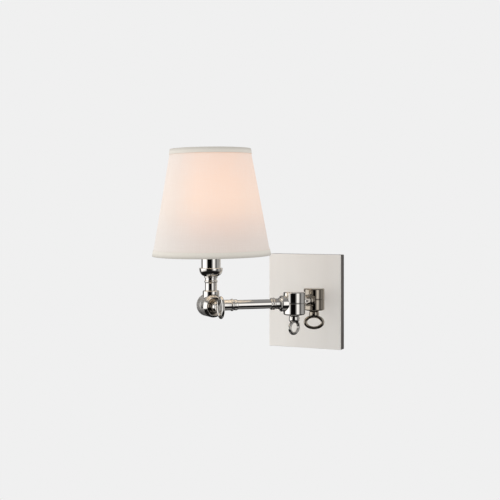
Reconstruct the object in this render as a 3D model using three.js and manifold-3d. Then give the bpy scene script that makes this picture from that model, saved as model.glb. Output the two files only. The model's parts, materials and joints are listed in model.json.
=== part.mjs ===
// Swing-arm wall lamp with two vertical knuckle joints, a tilting shade joint
// and ring-headed clamp screws. Millimetres, +Z up. The wall is the plane Y = 0
// and the lamp stands out from it towards -Y. The origin is the centre of the
// mounting strap's back face, which is also the centre of the wall plate's back.
import * as THREE from 'three';
import { mergeVertices } from 'three/addons/utils/BufferGeometryUtils.js';
import Module from 'manifold-3d';

// ---- driving dimensions -------------------------------------------------
const PLATE_W = 114, PLATE_H = 138, PLATE_T = 13, PLATE_WALL = 1.6;
const STRAP_L = 104, STRAP_H = 24, STRAP_T = 2.5, STRAP_SLOT_X = 44.45;
const KN_R = 15.1;          // knuckle radius
const KN_HALF = 16.2;       // knuckle half height at the crown of its end
const KN_CAVITY_R = 12.2, KN_BOSS_R = 5.5, PIVOT_BORE = 3.3;
const CLEAR = 0.35;         // running gap between a knuckle and a saddle collar
const SPLIT = 0.15;         // half of the gap between two knuckle halves
const NECK_R = 5.0, NECK_BORE = 3.2, BORE = 5.35, LEAD_R = 2.4;
const A_X = 25, A_OUT = 24; // wall knuckle: right of centre, out from the plate
const KZ = 5.5;             // height of the arms above the plate's centre
const LINK = 72;            // wall knuckle to elbow knuckle
const ARM = 117.8;          // elbow knuckle to shade knuckle
const ARM_YAW = 43;         // arm's angle out from the wall's plane, degrees
const TURN_C = 8;           // shade knuckle turned from square to the arm, degrees
const RING_DROP = 17.0;     // ring's centre below the knuckle's end
const TUBE_R = 6.35, TUBE_BORE = 5.3;
const RING_A = 12.4, RING_B = 8.2, RING_SIDE = 2.4, RING_END = 2.1;
const SHADE_Z0 = 66.9, SHADE_Z1 = 209.0, SHADE_R0 = 78.9, SHADE_R1 = 53.7, SKIN_T = 1.1;
const TRIM_H = 7.8, TRIM_T = 0.6;
const SLEEVE_R = 12.95, SLEEVE_TOP = 100;
const SEG = 24;             // sides of a turned piece

const wasm = await Module();
wasm.setup();

// ---- geometry helpers -----------------------------------------------------
// Keep only positions, merge shared vertices, drop slivers, face outwards.
function clean(geometry) {
  const g0 = geometry.index ? geometry.clone() : geometry.clone();
  g0.deleteAttribute('normal');
  g0.deleteAttribute('uv');
  const g = mergeVertices(g0, 1e-4);
  const src = g.index.array, tri = [];
  for (let i = 0; i < src.length; i += 3) {
    const a = src[i], b = src[i + 1], c = src[i + 2];
    if (a !== b && b !== c && a !== c) tri.push(a, b, c);
  }
  const p = g.attributes.position.array;
  let vol = 0;
  for (let i = 0; i < tri.length; i += 3) {
    const [a, b, c] = [tri[i] * 3, tri[i + 1] * 3, tri[i + 2] * 3];
    vol += p[a] * (p[b + 1] * p[c + 2] - p[b + 2] * p[c + 1])
         - p[a + 1] * (p[b] * p[c + 2] - p[b + 2] * p[c])
         + p[a + 2] * (p[b] * p[c + 1] - p[b + 1] * p[c]);
  }
  if (vol < 0) for (let i = 0; i < tri.length; i += 3) [tri[i + 1], tri[i + 2]] = [tri[i + 2], tri[i + 1]];
  g.setIndex(tri);
  return g;
}
function solid(geometry) {
  const g = clean(geometry);
  return new wasm.Manifold(new wasm.Mesh({
    numProp: 3,
    vertProperties: new Float32Array(g.attributes.position.array),
    triVerts: new Uint32Array(g.index.array),
  }));
}
function surface(man) {
  const m = man.getMesh();
  const g = new THREE.BufferGeometry();
  g.setAttribute('position', new THREE.BufferAttribute(new Float32Array(m.vertProperties), 3));
  g.setIndex(new THREE.BufferAttribute(new Uint32Array(m.triVerts), 1));
  return g;
}
const D = Math.PI / 180;
const V = (x, y) => new THREE.Vector2(x, y);
// A turned piece about +Z from [radius, z] pairs.
function turned(pairs, seg = SEG) {
  return new THREE.LatheGeometry(pairs.map(([r, z]) => V(r, z)), seg).rotateX(Math.PI / 2);
}
// A turned tube: outer [radius, z] pairs from low to high, then a straight bore.
function sleeve(outer, bore, seg = SEG) {
  const lo = outer[0][1], hi = outer[outer.length - 1][1];
  return turned([[bore, lo], ...outer, [bore, hi], [bore, lo]], seg);
}
// The same, with a bore that changes radius: inner pairs run from high to low.
function sleeve2(outer, inner, seg = SEG) {
  return turned([...outer, ...inner, outer[0]], seg);
}
const rod = (r, lo, hi, seg = 24) => turned([[0, lo], [r, lo], [r, hi], [0, hi]], seg);
const box = (x0, y0, z0, x1, y1, z1) =>
  new THREE.BoxGeometry(x1 - x0, y1 - y0, z1 - z0).translate((x0 + x1) / 2, (y0 + y1) / 2, (z0 + z1) / 2);
const alongX = (g) => g.rotateY(Math.PI / 2);   // +Z axis laid along +X
// A wire or ring that closes on itself, laid along a closed path.
function hoop(path, radius, around = 32, sides = 8) {
  const g = new THREE.TorusGeometry(1, 0.2, sides, around);
  const p = g.attributes.position;
  for (let j = 0; j <= sides; j++) {
    for (let i = 0; i <= around; i++) {
      const u = (i % around) / around, v = ((j % sides) / sides) * 2 * Math.PI;
      const c = path(u), t = path(u + 1e-4).sub(path(u - 1e-4)).normalize();
      const { n } = path.frame(u, c);
      const a = n.clone().sub(t.clone().multiplyScalar(n.dot(t))).normalize();
      const b = new THREE.Vector3().crossVectors(t, a);
      const [ra, rb] = radius(u);
      c.addScaledVector(a, ra * Math.cos(v)).addScaledVector(b, rb * Math.sin(v));
      p.setXYZ(j * (around + 1) + i, c.x, c.y, c.z);
    }
  }
  return g;
}
// A straight wire between two points.
function wire(a, b, r, seg = 6) {
  const d = new THREE.Vector3().subVectors(b, a);
  const g = new THREE.CylinderGeometry(r, r, d.length(), seg);
  const q = new THREE.Quaternion().setFromUnitVectors(new THREE.Vector3(0, 1, 0), d.clone().normalize());
  return g.applyQuaternion(q).translate((a.x + b.x) / 2, (a.y + b.y) / 2, (a.z + b.z) / 2);
}
function arc(cx, cz, r, a0, a1, n) {
  const out = [];
  for (let i = 0; i <= n; i++) {
    const a = (a0 + (a1 - a0) * i / n) * D;
    out.push([cx + r * Math.cos(a), cz + r * Math.sin(a)]);
  }
  return out;
}

// ---- finishes ---------------------------------------------------------------
const mat = (color, roughness, metalness) => new THREE.MeshStandardMaterial({ color, roughness, metalness });
const NICKEL = mat(0xcfcac2, 0.12, 1), PLATE = mat(0xddd6cd, 0.28, 1), STEEL = mat(0x9a9c9e, 0.4, 1);
const BRASS = mat(0xb9923f, 0.35, 1), LINEN = mat(0xf4f0ea, 0.95, 0), TAPE = mat(0xd8d3cb, 0.9, 0);
const GLASS = mat(0xfff4e2, 0.1, 0), PHENOLIC = mat(0x1d1b19, 0.5, 0), LEAD = mat(0x2a2a2a, 0.6, 0);

const lamp = new THREE.Group();
function piece(parent, name, geometry, material) {
  const mesh = new THREE.Mesh(geometry, material);
  mesh.name = name;
  parent.add(mesh);
  return mesh;
}

// ---- knuckle: two cups on one axis, +Z, with radial necks along +X -----------
// up = +1 for the half above the split, -1 for the half below it. The boss
// around the pivot stops short of the split to leave room for the washer.
const SADDLE_R = KN_R + CLEAR;
function knuckleHalf(up, neckEnd, through, skew = 0, nosed = false) {
  const shell = turned(nosed
    ? [[0, SPLIT], [KN_R, SPLIT], [KN_R, KN_HALF - 6.2], [KN_R - 2.1, KN_HALF - 1.4], [KN_R - 3.2, KN_HALF - 0.5], [0, KN_HALF]]
    : [[0, SPLIT], [KN_R, SPLIT], [KN_R, KN_HALF - 2.6],
      [KN_R - 0.65, KN_HALF - 1.05], [KN_R - 2.2, KN_HALF - 0.4], [0, KN_HALF]], 32);
  let half = solid(shell);
  half = half.subtract(solid(sleeve([[KN_CAVITY_R, SPLIT - 1], [KN_CAVITY_R, KN_HALF - 4]], KN_BOSS_R, 20)));
  half = half.subtract(solid(rod(KN_BOSS_R + 0.3, SPLIT - 1, 0.9, 20)));
  half = half.subtract(solid(rod(PIVOT_BORE, -2, through ? KN_HALF + 3 : KN_HALF - 3.2, 16)));
  let neck = solid(alongX(rod(NECK_R, KN_CAVITY_R - 0.6, neckEnd, 20)).rotateY(skew * D));
  neck = neck.subtract(solid(rod(SADDLE_R, -20, SPLIT, 32)));
  half = half.add(neck);
  half = half.subtract(solid(alongX(rod(NECK_BORE, KN_CAVITY_R - 3, neckEnd + 1, 12)).rotateY(skew * D)));
  const g = surface(half);
  return up > 0 ? g : g.rotateX(Math.PI);
}
const washer = () => sleeve([[KN_BOSS_R - 0.2, -0.6], [KN_BOSS_R - 0.2, 0.6]], PIVOT_BORE + 0.35, 16);
// A turned collar along +X whose knuckle end is cut to the knuckle's round side.
function saddle(outer, inner, skew = 0) {
  const blank = solid(alongX(sleeve2(outer, inner)));
  return surface(blank.subtract(solid(rod(SADDLE_R, -30, 30, 36).rotateY(skew * D))));
}

// Ring-headed clamp screw, its shank up +Z and its ring hanging below.
function ringScrew() {
  const top = -KN_HALF - CLEAR;
  const hub = solid(turned([[0, top], [6.2, top], [7.2, top - 1.8], [7.4, top - 5.5], [6.7, top - 8.8], [5.4, top - 10], [0, top - 10]], 20));
  const shank = solid(rod(PIVOT_BORE - 0.3, top - 2, KN_HALF - 3.8, 12));
  const zc = -KN_HALF - RING_DROP;
  const path = (u) => new THREE.Vector3(RING_A * Math.cos(u * 2 * Math.PI), 0, zc + RING_B * Math.sin(u * 2 * Math.PI));
  path.frame = (u, c) => ({ n: new THREE.Vector3(Math.cos(u * 2 * Math.PI) / RING_A, 0, Math.sin(u * 2 * Math.PI) / RING_B) });
  const ring = solid(hoop(path, (u) => {
    const k = Math.cos(u * 2 * Math.PI) ** 2;
    const r = RING_END + (RING_SIDE - RING_END) * k;
    return [r, 2.1];
  }, 24, 7));
  return surface(hub.add(shank).add(ring));
}

// ---- base: wall plate, strap, nipple, collar, fixed half --------------------
const frameA = new THREE.Group();
frameA.position.set(A_X, -(PLATE_T + A_OUT), KZ);
lamp.add(frameA);

{
  const s = new THREE.Shape();
  const w = PLATE_W / 2 - 0.7, h = PLATE_H / 2 - 0.7;
  s.moveTo(-w, -h); s.lineTo(w, -h); s.lineTo(w, h); s.lineTo(-w, h); s.closePath();
  const pan = new THREE.ExtrudeGeometry(s, { depth: PLATE_T - 0.7, bevelEnabled: true, bevelThickness: 0.7,
    bevelSize: 0.7, bevelSegments: 2, steps: 1 });
  // drawn in XY with its depth along +Z: stand it up with the bevelled front at -Y
  pan.rotateX(Math.PI / 2);
  let plate = solid(pan);
  // flatten the back, hollow the pan, and bore the nipple hole
  plate = plate.subtract(solid(box(-200, 0, -200, 200, 50, 200)));
  plate = plate.subtract(solid(box(-PLATE_W / 2 + PLATE_WALL, -PLATE_T + PLATE_WALL, -PLATE_H / 2 + PLATE_WALL,
    PLATE_W / 2 - PLATE_WALL, 20, PLATE_H / 2 - PLATE_WALL)));
  plate = plate.subtract(solid(rod(BORE, -30, 30, 28).rotateX(Math.PI / 2).translate(A_X, 0, KZ)));
  piece(lamp, 'wall_plate', surface(plate), PLATE);
}
{
  let strap = solid(box(-STRAP_L / 2, -STRAP_T, -STRAP_H / 2, STRAP_L / 2, 0, STRAP_H / 2));
  for (const sx of [-1, 1]) {
    strap = strap.subtract(solid(rod(2.4, -5, 5, 20).rotateX(Math.PI / 2).translate(sx * (STRAP_SLOT_X - 1.5), 0, 0)));
    strap = strap.subtract(solid(rod(2.4, -5, 5, 20).rotateX(Math.PI / 2).translate(sx * (STRAP_SLOT_X + 2.5), 0, 0)));
    strap = strap.subtract(solid(box(sx * (STRAP_SLOT_X + 0.5) - 2, -5, -2.4, sx * (STRAP_SLOT_X + 0.5) + 2, 5, 2.4)));
  }
  strap = strap.subtract(solid(rod(BORE, -5, 5, 28).rotateX(Math.PI / 2).translate(A_X, 0, KZ)));
  piece(lamp, 'mounting_strap', surface(strap), STEEL);
}
// Everything on the wall side of the wall knuckle runs along +Y from its axis.
const wallSide = new THREE.Group();
wallSide.rotation.z = Math.PI / 2;
frameA.add(wallSide);
const WALL_X = PLATE_T + A_OUT;   // knuckle axis to the wall
piece(wallSide, 'mounting_nipple', alongX(sleeve([[4.95, 18.8], [4.95, WALL_X - 0.3]], NECK_BORE, 28)), STEEL);
{
  const nut = solid(alongX(turned([[0, WALL_X - STRAP_T - 3.9], [8.1, WALL_X - STRAP_T - 3.9],
    [8.1, WALL_X - STRAP_T - 0.3], [0, WALL_X - STRAP_T - 0.3]], 6)));
  piece(wallSide, 'lock_nut', surface(nut.subtract(solid(alongX(rod(BORE, 20, 40, 28))))), BRASS);
}
piece(wallSide, 'wall_collar', saddle(
  [[8.4, 8], [8.2, 17.4], [7.0, 18.6], [6.9, A_OUT - 0.3]],
  [[BORE, A_OUT - 0.3], [BORE, 8]]), NICKEL);
piece(wallSide, 'knuckle_a_fixed_half', knuckleHalf(1, 18.5, false), NICKEL);
piece(wallSide, 'wall_lead', alongX(rod(LEAD_R, 15.6, WALL_X - 0.6, 8)), LEAD);
piece(frameA, 'knuckle_a_washer', washer(), BRASS);

// ---- link: wall knuckle to elbow -------------------------------------------
const linkSide = new THREE.Group();
linkSide.rotation.z = -Math.PI / 2;
frameA.add(linkSide);
piece(linkSide, 'knuckle_a_link_half', knuckleHalf(-1, 23, true), NICKEL);
const linkCollar = () => saddle(
  [[8.2, 8], [8.2, 17.4], [7.3, 19], [7.3, 22.6], [8.2, 23.4], [8.2, 24.6], [7.3, 25.4], [6.9, 27]],
  [[TUBE_R + 0.3, 27], [TUBE_R + 0.3, 23.3], [BORE, 23.3], [BORE, 8]]);
piece(linkSide, 'link_collar_a', linkCollar(), NICKEL);
piece(linkSide, 'link_tube', alongX(sleeve([[TUBE_R, 23.6], [TUBE_R, LINK - 23.6]], TUBE_BORE, 32)), NICKEL);
piece(linkSide, 'link_lead', alongX(rod(LEAD_R, 15.6, LINK - 15.6, 8)), LEAD);

const frameB = new THREE.Group();
frameB.position.set(A_X, -(PLATE_T + A_OUT) - LINK, KZ);
lamp.add(frameB);
const backSide = new THREE.Group();
backSide.rotation.z = Math.PI / 2;
frameB.add(backSide);
piece(backSide, 'link_collar_b', linkCollar(), NICKEL);
piece(backSide, 'knuckle_b_link_half', knuckleHalf(1, 23, false), NICKEL);
piece(frameB, 'knuckle_b_washer', washer(), BRASS);

// ---- arm: elbow to shade knuckle --------------------------------------------
const armSide = new THREE.Group();
armSide.rotation.z = Math.PI + ARM_YAW * D;
frameB.add(armSide);
piece(armSide, 'knuckle_b_arm_half', knuckleHalf(-1, 28.8, true), NICKEL);
piece(armSide, 'arm_bell', saddle(
  [[11, 8], [11, 19.4], [9.2, 21], [7.9, 22.8]],
  [[BORE, 22.8], [BORE, 8]]), NICKEL);
piece(armSide, 'arm_inner_ferrule', alongX(sleeve2(
  [[BORE, 23.1], [7.3, 23.1], [7.3, 28.3], [8.2, 29], [8.2, 30.7], [7.5, 31.3],
   [8.2, 31.9], [8.2, 33.5], [7.3, 34.4], [TUBE_R + 0.3, 34.4]],
  [[TUBE_R + 0.3, 29.1], [BORE, 29.1]])), NICKEL);
piece(armSide, 'arm_tube', alongX(sleeve([[TUBE_R, 29.4], [TUBE_R, 88.2]], TUBE_BORE, 40)), NICKEL);
{
  // the far ferrule is drawn from the shade knuckle's axis back towards the elbow
  const far = new THREE.Group();
  far.position.x = ARM;
  far.rotation.z = Math.PI;
  armSide.add(far);
  const ferrule = piece(far, 'arm_outer_ferrule', saddle(
    [[7.3, 8], [7.2, 27.2], [8.2, 28.2], [8.2, 29.8], [7.2, 30.8],
     [7.1, 32.4], [7.35, 32.9], [7.35, 35.4], [6.9, 36.2]],
    [[TUBE_R + 0.3, 36.2], [TUBE_R + 0.3, 29.3], [BORE, 29.3], [BORE, 8]], TURN_C), NICKEL);
  ferrule.rotation.x = Math.PI / 2;   // its saddle fits a knuckle that lies level
}
piece(armSide, 'arm_lead', alongX(rod(LEAD_R, 15.6, ARM - 15.6, 8)), LEAD);

// Shade knuckle: its own +Z is its axis, level, and turned a little from square to the arm.
const cx = A_X - ARM * Math.cos(ARM_YAW * D), cy = -(PLATE_T + A_OUT) - LINK - ARM * Math.sin(ARM_YAW * D);
const frameC = new THREE.Group();
frameC.position.set(cx, cy, KZ);
frameC.quaternion.setFromRotationMatrix(new THREE.Matrix4().makeBasis(
  new THREE.Vector3(Math.cos((ARM_YAW + TURN_C) * D), Math.sin((ARM_YAW + TURN_C) * D), 0),
  new THREE.Vector3(0, 0, 1),
  new THREE.Vector3(Math.sin((ARM_YAW + TURN_C) * D), -Math.cos((ARM_YAW + TURN_C) * D), 0)));   // the knuckle's axis
lamp.add(frameC);
piece(frameC, 'knuckle_c_arm_half', knuckleHalf(-1, 28.5, false, TURN_C), NICKEL);
piece(frameC, 'knuckle_c_washer', washer(), BRASS);

// ---- head: everything that tilts with the shade -----------------------------
const headNeck = new THREE.Group();
headNeck.rotation.z = Math.PI / 2;           // neck turned up, world +Z
frameC.add(headNeck);
{
  // the set screw sits in the head half's side, across from the arm
  const at = 5.4;
  let half = solid(knuckleHalf(1, 34, true, 0, true));
  half = half.subtract(solid(alongX(rod(2.75, 9, 20, 20)).rotateZ(Math.PI / 2).translate(0, 0, at)));
  piece(headNeck, 'knuckle_c_head_half', surface(half), NICKEL);
  const screw = solid(alongX(rod(2.35, 9.5, 13.6, 16)));
  const socket = solid(alongX(turned([[0, 11.9], [1.3, 11.9], [1.3, 16], [0, 16]], 6)));
  piece(headNeck, 'set_screw', surface(screw.subtract(socket)).rotateZ(Math.PI / 2).translate(0, 0, at), STEEL);
}
piece(headNeck, 'stem_collar', saddle(
  [[11.15, 6], [11.15, 18.6], [9.9, 20.0]], [[BORE, 20.0], [BORE, 6]]), NICKEL);

const head = new THREE.Group();              // upright, about the shade's axis
head.position.set(cx, cy, KZ);
lamp.add(head);
piece(head, 'stem', sleeve([[7.95, 20.3], [7.95, 30.5], [8.8, 31.4], [8.8, 32.7], [7.95, 33.6], [7.95, 37.1]], BORE, 28), NICKEL);
piece(head, 'candle_cup', sleeve2(
  [[BORE, 37.4], [9.1, 37.4], [9.1, 39.2], [12.8, 41.0], [15.1, 44.2], [15.7, 48], [15.7, 50.1], [14.2, 50.1]],
  [[14.2, 48], [13.7, 45.2], [11.4, 42.2], [8.2, 41], [BORE, 41]], 26), NICKEL);
piece(head, 'stem_nipple', sleeve([[4.95, 34.4], [4.95, 58]], NECK_BORE, 24), STEEL);
{
  const nut = solid(turned([[0, 41.4], [7.6, 41.4], [7.6, 44.6], [0, 44.6]], 6));
  piece(head, 'cup_nut', surface(nut.subtract(solid(rod(BORE, 30, 60, 24)))), BRASS);
}
piece(head, 'stem_lead', rod(LEAD_R, 15.6, 61.6, 8), LEAD);
piece(head, 'candle_sleeve', sleeve([[SLEEVE_R, 45.4], [SLEEVE_R, SLEEVE_TOP]], 11.9, 28), NICKEL);
piece(head, 'socket_body', turned([[3.4, 58.3], [7.5, 58.3], [11.4, 64], [11.4, 97.4], [9.3, 97.4],
  [9.3, 72], [3.4, 72], [3.4, 58.3]], 20), PHENOLIC);
piece(head, 'socket_shell', sleeve([[8.9, 74], [8.9, 97]], 8.2, 20), BRASS);
piece(head, 'socket_contact', rod(3.9, 72.4, 73.6, 16), BRASS);
piece(head, 'bulb_base', turned([[0, 74.1], [2.6, 74.1], [3.4, 75.2], [6.6, 77.6], [7.7, 79], [7.7, 98.6], [8.6, 99.6], [8.6, 101], [6.2, 101],
  [6.2, 80], [0, 80]], 18), BRASS);
const bulbR = (z) => {                       // candle bulb: outer radius at height z
  const pts = [[101.3, 7.4], [106, 9.6], [112, 12.8], [118, 15.4], [124, 17.0], [130, 17.5], [138, 16.8], [146, 14.9], [154, 12.2],
    [162, 8.8], [168, 5.6], [172, 3.2], [174.5, 1.4]];
  for (let i = 1; i < pts.length; i++) if (z <= pts[i][0]) {
    const k = (z - pts[i - 1][0]) / (pts[i][0] - pts[i - 1][0]);
    return pts[i - 1][1] + k * (pts[i][1] - pts[i - 1][1]);
  }
  return 0;
};
{
  const zs = [101.3, 109, 118, 130, 142, 156, 168];
  const outer = zs.map((z) => [bulbR(z), z]);
  const inner = zs.slice(0, 6).map((z) => [bulbR(z) - 0.9, z]).reverse();
  piece(head, 'lamp_bulb', turned([...outer, [0, 174.5], [0, 169], ...inner, outer[0]], 20), GLASS);
}

// Shade: a straight-sided drum cone with taped edges on two wire rings.
const shadeR = (z) => SHADE_R0 + (SHADE_R1 - SHADE_R0) * (z - SHADE_Z0) / (SHADE_Z1 - SHADE_Z0);
const skin = (z0, z1, out, t) => turned([[shadeR(z0) + out - t, z0], [shadeR(z0) + out, z0], [shadeR(z1) + out, z1],
  [shadeR(z1) + out - t, z1], [shadeR(z0) + out - t, z0]], 48);
piece(head, 'shade_skin', skin(SHADE_Z0, SHADE_Z1, 0, SKIN_T), LINEN);
piece(head, 'shade_bottom_trim', skin(SHADE_Z0, SHADE_Z0 + TRIM_H, 0.3 + TRIM_T, TRIM_T), TAPE);
piece(head, 'shade_top_trim', skin(SHADE_Z1 - TRIM_H, SHADE_Z1, 0.3 + TRIM_T, TRIM_T), TAPE);
const wireRing = (z, seg) => turned([...arc(shadeR(z) - SKIN_T - 0.45 - 1.2, z, 1.2, 45, 405, 4)], seg);
piece(head, 'shade_bottom_ring', wireRing(SHADE_Z0 + 1.6, 40), STEEL);
piece(head, 'shade_top_ring', wireRing(SHADE_Z1 - 1.6, 36), STEEL);
{
  // Clip-on carrier: a small ring over the bulb, three spokes out to the top
  // wire ring, and two wire hoops that grip the bulb from both sides.
  const W = 1.1, HUB_R = 14, HUB_Z = 181;
  let sp = solid(turned(arc(HUB_R, HUB_Z, W, 0, 360, 6), 18));
  for (let k = 0; k < 3; k++) {
    const a = (k * 120 + 30) * D, c = Math.cos(a), s = Math.sin(a);
    const ro = shadeR(SHADE_Z1 - 1.6) - SKIN_T - 0.45 - 2.4 - 0.35;
    const mid = new THREE.Vector3(30 * c, 30 * s, HUB_Z + 1.5);
    sp = sp.add(solid(wire(new THREE.Vector3(HUB_R * c, HUB_R * s, HUB_Z), mid, W)));
    sp = sp.add(solid(new THREE.SphereGeometry(W * 1.02, 6, 4).translate(mid.x, mid.y, mid.z)));
    sp = sp.add(solid(wire(mid, new THREE.Vector3((ro - W) * c, (ro - W) * s, SHADE_Z1 - 1.8), W)));
  }
  for (const side of [0, Math.PI]) {
    const path = (u) => {
      const z = 138 + 17 * Math.sin(u * 2 * Math.PI), f = side + 0.62 * Math.cos(u * 2 * Math.PI);
      const r = bulbR(z) + 0.4 + W * 1.15;
      return new THREE.Vector3(r * Math.cos(f), r * Math.sin(f), z);
    };
    path.frame = (u, c) => ({ n: new THREE.Vector3(c.x, c.y, 0).normalize() });
    sp = sp.add(solid(hoop(path, () => [W, W], 16, 6)));
    const topR = bulbR(155) + 0.4 + W * 1.15;
    sp = sp.add(solid(wire(new THREE.Vector3(topR * Math.cos(side), 0, 155), new THREE.Vector3(HUB_R * Math.cos(side), 0, HUB_Z), W)));
  }
  piece(head, 'shade_carrier', surface(sp), STEEL);
}

// ---- ring-headed clamp screws -------------------------------------------------
const screwA = piece(frameA, 'ring_screw_a', ringScrew(), NICKEL);
screwA.rotation.z = 24 * D;
const screwB = piece(frameB, 'ring_screw_b', ringScrew(), NICKEL);
screwB.rotation.z = 85 * D;
const screwC = piece(frameC, 'ring_screw_c', ringScrew(), NICKEL);
screwC.rotation.set(Math.PI, 0, 0);          // enters from the front of the knuckle
screwC.rotateZ(Math.PI / 2);                 // with its ring upright

export default lamp;
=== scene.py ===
# Swing-arm wall lamp: the looks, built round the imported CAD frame. Metres, +Z up, the wall is Y = 0.
import json
import math

import bmesh
import bpy
import numpy as np
from mathutils import Matrix, Vector

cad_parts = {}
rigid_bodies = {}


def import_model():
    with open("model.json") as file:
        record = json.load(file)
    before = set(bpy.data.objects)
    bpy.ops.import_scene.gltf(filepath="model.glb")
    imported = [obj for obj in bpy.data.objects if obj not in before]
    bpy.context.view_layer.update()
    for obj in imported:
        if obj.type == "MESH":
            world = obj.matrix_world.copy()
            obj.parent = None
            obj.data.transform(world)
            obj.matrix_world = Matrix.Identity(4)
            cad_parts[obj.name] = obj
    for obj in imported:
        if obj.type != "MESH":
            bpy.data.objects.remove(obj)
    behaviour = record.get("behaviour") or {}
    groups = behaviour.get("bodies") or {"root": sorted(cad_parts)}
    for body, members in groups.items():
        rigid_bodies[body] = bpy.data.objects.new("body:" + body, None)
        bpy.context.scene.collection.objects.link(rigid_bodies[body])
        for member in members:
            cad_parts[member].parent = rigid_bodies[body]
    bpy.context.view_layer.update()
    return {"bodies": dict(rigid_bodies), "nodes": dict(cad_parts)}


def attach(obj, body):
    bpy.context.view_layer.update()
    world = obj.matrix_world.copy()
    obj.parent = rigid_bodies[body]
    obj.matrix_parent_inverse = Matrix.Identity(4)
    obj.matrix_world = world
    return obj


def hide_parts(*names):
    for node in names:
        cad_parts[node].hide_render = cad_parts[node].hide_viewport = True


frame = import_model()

MM = 0.001
D = math.pi / 180

# ---- driving dimensions, millimetres, as in the CAD --------------------------------
PLATE_W, PLATE_H, PLATE_T, PLATE_WALL = 114.0, 138.0, 13.0, 1.6
KN_R, KN_HALF, SPLIT = 15.1, 16.2, 0.15
A_X, A_OUT, KZ, LINK, ARM, ARM_YAW, TURN_C = 25.0, 24.0, 5.5, 72.0, 117.8, 43.0, 8.0
TUBE_R = 6.35
RING_A, RING_B, RING_SIDE, RING_END, RING_DROP = 12.4, 8.2, 2.55, 2.15, 17.0
SHADE_Z0, SHADE_Z1, SHADE_R0, SHADE_R1, SKIN_T = 66.9, 209.0, 78.9, 53.7, 1.1
TRIM_H, TRIM_T = 7.8, 0.6
SLEEVE_R, SLEEVE_TOP = 12.95, 100.0
SADDLE = KN_R + 0.16          # a collar's saddle, just clear of the knuckle
CX = A_X - ARM * math.cos(ARM_YAW * D)
CY = -(PLATE_T + A_OUT) - LINK - ARM * math.sin(ARM_YAW * D)

# ---- camera: level, square frame, at the photograph's angle --------------------------
cam_data = bpy.data.cameras.new("camera")
cam = bpy.data.objects.new("camera", cam_data)
bpy.context.scene.collection.objects.link(cam)
VIEW_AZ = 26.0
fwd = Vector((-math.sin(VIEW_AZ * D), math.cos(VIEW_AZ * D), 0))
rgt = Vector((math.cos(VIEW_AZ * D), math.sin(VIEW_AZ * D), 0))
cam.location = (Vector((CX, CY, KZ + 116.8)) - fwd * 1260.0 + rgt * 52.06) * MM
cam.rotation_euler = (math.pi / 2, 0, VIEW_AZ * D)
cam_data.sensor_width = 36.0
cam_data.lens = 944.0 / 500.0 * 36.0
cam_data.shift_y = -32.0 / 500.0
cam_data.clip_start, cam_data.clip_end = 0.05, 50.0
bpy.context.scene.camera = cam

# ---- node helpers ------------------------------------------------------------------------
def new_mat(name):
    m = bpy.data.materials.new(name)
    m.use_nodes = True
    t = m.node_tree
    for n in list(t.nodes):
        t.nodes.remove(n)
    out = t.nodes.new("ShaderNodeOutputMaterial")
    bsdf = t.nodes.new("ShaderNodeBsdfPrincipled")
    t.links.new(bsdf.outputs[0], out.inputs[0])
    return m, t, bsdf


def node(t, kind, **kw):
    n = t.nodes.new(kind)
    for k, v in kw.items():
        if k in n.inputs:
            n.inputs[k].default_value = v
        else:
            setattr(n, k, v)
    return n


def coords(t, which="Object", scale=(1, 1, 1)):
    tc = t.nodes.new("ShaderNodeTexCoord")
    mp = t.nodes.new("ShaderNodeMapping")
    mp.inputs["Scale"].default_value = scale
    t.links.new(tc.outputs[which], mp.inputs["Vector"])
    return mp.outputs["Vector"]


def noise(t, vec, scale, detail=4.0, rough=0.55):
    n = node(t, "ShaderNodeTexNoise", Scale=scale, Detail=detail, Roughness=rough)
    t.links.new(vec, n.inputs["Vector"])
    return n.outputs["Fac"]


def ramp(t, fac, stops):
    r = t.nodes.new("ShaderNodeValToRGB")
    el = r.color_ramp.elements
    while len(el) > 1:
        el.remove(el[-1])
    for i, (p, c) in enumerate(stops):
        c = tuple(c) if hasattr(c, "__len__") else (c, c, c)
        e = el[0] if i == 0 else el.new(p)
        e.position = p
        e.color = (*c[:3], 1)
    t.links.new(fac, r.inputs["Fac"])
    return r.outputs["Color"]


def math_node(t, op, a, b=None, clamp=False):
    n = t.nodes.new("ShaderNodeMath")
    n.operation = op
    n.use_clamp = clamp
    for i, v in enumerate((a, b)):
        if v is None:
            continue
        if hasattr(v, "is_output"):
            t.links.new(v, n.inputs[i])
        else:
            n.inputs[i].default_value = v
    return n.outputs[0]


def remap(t, v, a0, a1, b0, b1):
    n = t.nodes.new("ShaderNodeMapRange")
    n.inputs["From Min"].default_value, n.inputs["From Max"].default_value = a0, a1
    n.inputs["To Min"].default_value, n.inputs["To Max"].default_value = b0, b1
    t.links.new(v, n.inputs["Value"])
    return n.outputs["Result"]


def mix(t, fac, a, b, mode="MIX"):
    n = t.nodes.new("ShaderNodeMix")
    n.data_type = "RGBA"
    n.blend_type = mode
    for sock, v in ((n.inputs[0], fac), (n.inputs[6], a), (n.inputs[7], b)):
        if hasattr(v, "is_output"):
            t.links.new(v, sock)
        elif hasattr(v, "__len__"):
            sock.default_value = (*v[:3], 1)
        else:
            sock.default_value = v
    return n.outputs[2]


def bump(t, height, strength, distance, normal=None):
    b = node(t, "ShaderNodeBump", Strength=strength, Distance=distance)
    t.links.new(height, b.inputs["Height"])
    if normal is not None:
        t.links.new(normal, b.inputs["Normal"])
    return b.outputs["Normal"]


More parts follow.
